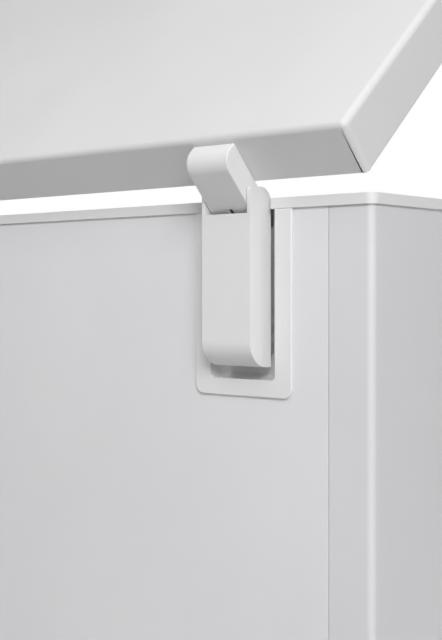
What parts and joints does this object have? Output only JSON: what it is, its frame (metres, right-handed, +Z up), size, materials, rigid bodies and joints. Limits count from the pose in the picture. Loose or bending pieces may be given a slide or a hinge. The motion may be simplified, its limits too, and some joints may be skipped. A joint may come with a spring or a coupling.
{
  "type": "chest freezer",
  "caption": "Chest freezer with an insulated cabinet, a lid on spring hinges, a lock, a hanging wire basket, a thermostat panel, a drain, levelling feet and rear rollers.",
  "frame": {"origin": "on the floor under the middle of the whole object, with its lid half open", "axes": "+Z up, the front faces -Y, the hinges are at +Y"},
  "size_m": [0.9116, 0.614, 1.2149],
  "materials": {
    "white_paint": "satin",
    "lid_paint": "satin",
    "white_plastic": "satin",
    "grey_plastic": "satin",
    "black_plastic": "satin",
    "insulation": "matte",
    "liner_aluminium": "satin",
    "zinc_steel": "satin",
    "lock_chrome": "polished",
    "copper": "satin",
    "black_enamel": "gloss",
    "rubber": "matte",
    "gasket_grey": "matte",
    "wire_coating": "gloss",
    "lamp_green": "gloss",
    "lamp_amber": "gloss",
    "lamp_red": "gloss"
  },
  "bodies": {
    "cabinet": {"cabinet_wrap": "white_paint", "rear_panel": "white_paint", "bottom_pan": "zinc_steel", "foam_body": "insulation", "inner_liner": "liner_aluminium", "top_frame": "white_plastic", "compartment_wall": "zinc_steel", "compressor_tray": "zinc_steel", "compressor": "black_enamel", "compressor_grommets": "rubber", "relay_cover": "black_plastic", "filter_drier": "copper", "condenser_tube": "black_enamel", "evaporator_tube": "zinc_steel", "rear_cover": "white_paint", "cover_screws": "zinc_steel", "side_grille": "grey_plastic", "cord_inlet": "rubber", "control_panel": "grey_plastic", "lamp_green": "lamp_green", "lamp_amber": "lamp_amber", "lamp_red": "lamp_red", "drain_tube": "grey_plastic", "roller_brackets": "zinc_steel", "roller_axles": "zinc_steel", "hinge_bezel_left": "white_plastic", "hinge_bezel_right": "white_plastic", "hinge_bracket_left": "zinc_steel", "hinge_bracket_right": "zinc_steel", "hinge_housing_left": "white_plastic", "hinge_housing_right": "white_plastic", "hinge_pins": "zinc_steel", "hinge_screws": "zinc_steel", "hinge_spring_left": "zinc_steel", "hinge_spring_right": "zinc_steel", "lock_keeper": "zinc_steel"},
    "lid": {"lid_shell": "lid_paint", "lid_foam": "insulation", "lid_liner": "white_plastic", "lid_gasket": "gasket_grey", "lid_handle": "grey_plastic", "hinge_arm_left": "zinc_steel", "hinge_arm_right": "zinc_steel", "arm_cover_left": "white_plastic", "arm_cover_right": "white_plastic", "arm_screws": "zinc_steel"},
    "lock": {"lock_barrel": "lock_chrome"},
    "plunger_left": {"hinge_plunger_left": "black_plastic"},
    "plunger_right": {"hinge_plunger_right": "black_plastic"},
    "basket": {"basket_floor": "wire_coating", "basket_sides": "wire_coating", "basket_ends": "wire_coating"},
    "knob": {"thermostat_knob": "black_plastic"},
    "rocker": {"freeze_switch": "black_plastic"},
    "drain_cap": {"drain_cap": "grey_plastic"},
    "drain_plug": {"drain_plug": "rubber"},
    "foot_left": {"front_foot_left": "black_plastic"},
    "foot_right": {"front_foot_right": "black_plastic"},
    "wheel_left": {"roller_left": "grey_plastic"},
    "wheel_right": {"roller_right": "grey_plastic"}
  },
  "joints": [
    {"name": "lid_hinge", "type": "hinge", "parent": "cabinet", "child": "lid", "pos_m": [0, 0.2698, 0.7857], "axis": [-1, 0, 0], "range_deg": [-42.4, 37.6]},
    {"name": "plunger_left_slide", "type": "slide", "parent": "cabinet", "child": "plunger_left", "axis": [0, 0, 1], "range_m": [-0.00964, 0.00855], "deforming": ["hinge_spring_left"]},
    {"name": "plunger_right_slide", "type": "slide", "parent": "cabinet", "child": "plunger_right", "axis": [0, 0, 1], "range_m": [-0.00964, 0.00855], "deforming": ["hinge_spring_right"]},
    {"name": "lock_turn", "type": "hinge", "parent": "lid", "child": "lock", "pos_m": [0, -0.12891, 1.1797], "axis": [0, 0.7385, -0.6743], "range_deg": [0, 90]},
    {"name": "basket_slide", "type": "slide", "parent": "cabinet", "child": "basket", "axis": [-1, 0, 0], "range_m": [0, 0.52]},
    {"name": "thermostat_turn", "type": "hinge", "parent": "cabinet", "child": "knob", "pos_m": [0.2815, -0.287, 0.092], "axis": [0, -1, 0], "range_deg": [-135, 135]},
    {"name": "switch_rock", "type": "hinge", "parent": "cabinet", "child": "rocker", "pos_m": [0.3335, -0.288, 0.092], "axis": [-1, 0, 0], "range_deg": [0, 12]},
    {"name": "drain_cap_slide", "type": "slide", "parent": "cabinet", "child": "drain_cap", "axis": [0, -1, 0], "range_m": [0, 0.04]},
    {"name": "drain_plug_slide", "type": "slide", "parent": "cabinet", "child": "drain_plug", "axis": [0, 0, 1], "range_m": [0, 0.06]},
    {"name": "foot_left_turn", "type": "hinge", "parent": "cabinet", "child": "foot_left", "pos_m": [-0.3925, -0.232, 0], "axis": [0, 0, 1], "continuous": true},
    {"name": "foot_right_turn", "type": "hinge", "parent": "cabinet", "child": "foot_right", "pos_m": [0.3925, -0.232, 0], "axis": [0, 0, 1], "continuous": true},
    {"name": "wheel_left_roll", "type": "hinge", "parent": "cabinet", "child": "wheel_left", "pos_m": [-0.3925, 0.198, 0.013], "axis": [1, 0, 0], "continuous": true},
    {"name": "wheel_right_roll", "type": "hinge", "parent": "cabinet", "child": "wheel_right", "pos_m": [0.3925, 0.198, 0.013], "axis": [1, 0, 0], "continuous": true}
  ],
  "couplings": [
    {"joint": "plunger_left_slide", "follows": "lid_hinge", "m_per_rad": 0.013},
    {"joint": "plunger_right_slide", "follows": "lid_hinge", "m_per_rad": 0.013}
  ]
}
